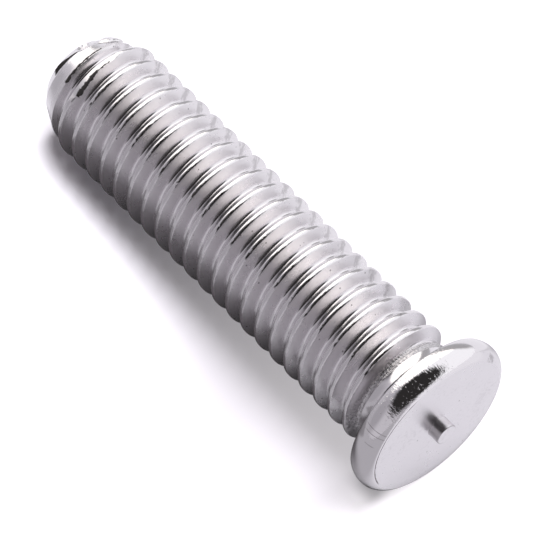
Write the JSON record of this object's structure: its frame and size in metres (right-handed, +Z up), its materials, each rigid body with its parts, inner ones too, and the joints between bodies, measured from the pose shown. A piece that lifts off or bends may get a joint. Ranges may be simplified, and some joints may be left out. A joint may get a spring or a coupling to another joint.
{
  "type": "weld stud",
  "caption": "Threaded weld stud with an upset flange and a small ignition tip, lying on its side; welds to sheet metal as a fixed threaded post.",
  "frame": {"origin": "on the ground, under the middle of the lying stud's length and on its axis line seen from above", "axes": "+X towards the weld face, the free end towards -X, +Z up; the stud's axis dips 2.85 degrees towards the free end, as it rests on its flange rim and one thread crest"},
  "size_m": [0.0208, 0.0066, 0.0066],
  "materials": {
    "steel": "bright satin, bare stainless steel"
  },
  "bodies": {
    "root": {"weld_stud": "steel"}
  },
  "joints": []
}
